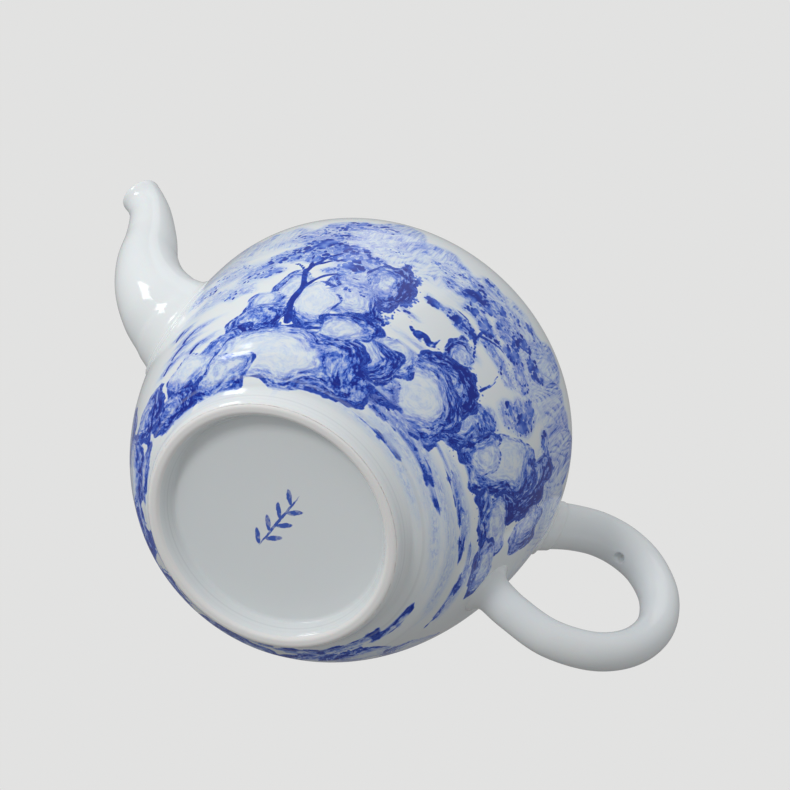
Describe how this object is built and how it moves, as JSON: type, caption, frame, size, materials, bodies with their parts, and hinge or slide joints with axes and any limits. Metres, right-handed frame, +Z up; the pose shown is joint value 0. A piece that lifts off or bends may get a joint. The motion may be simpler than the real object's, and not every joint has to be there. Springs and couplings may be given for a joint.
{
  "type": "teapot",
  "caption": "Small round blue-and-white porcelain teapot with foot ring, S-shaped spout, ear-shaped handle, inner strainer and a loose domed lid with a ball knob.",
  "frame": {"origin": "centre of the foot ring's bearing plane, on the pot's axis", "axes": "+Z up the pot's axis, +X towards the spout, -X towards the handle; the XZ plane is the plane of symmetry"},
  "size_m": [0.146, 0.0856, 0.092],
  "materials": {
    "painted_porcelain": "clear gloss glaze over cobalt blue underglaze painting",
    "white_porcelain": "cool white gloss glaze"
  },
  "bodies": {
    "pot": {"pot_body": "painted_porcelain", "spout": "white_porcelain", "strainer": "white_porcelain", "handle": "white_porcelain"},
    "lid": {"lid": "painted_porcelain", "lid_knob": "white_porcelain"}
  },
  "joints": [
    {"name": "lid_lift", "type": "slide", "parent": "pot", "child": "lid", "axis": [0, 0, 1], "range_m": [0, 0.06]}
  ]
}
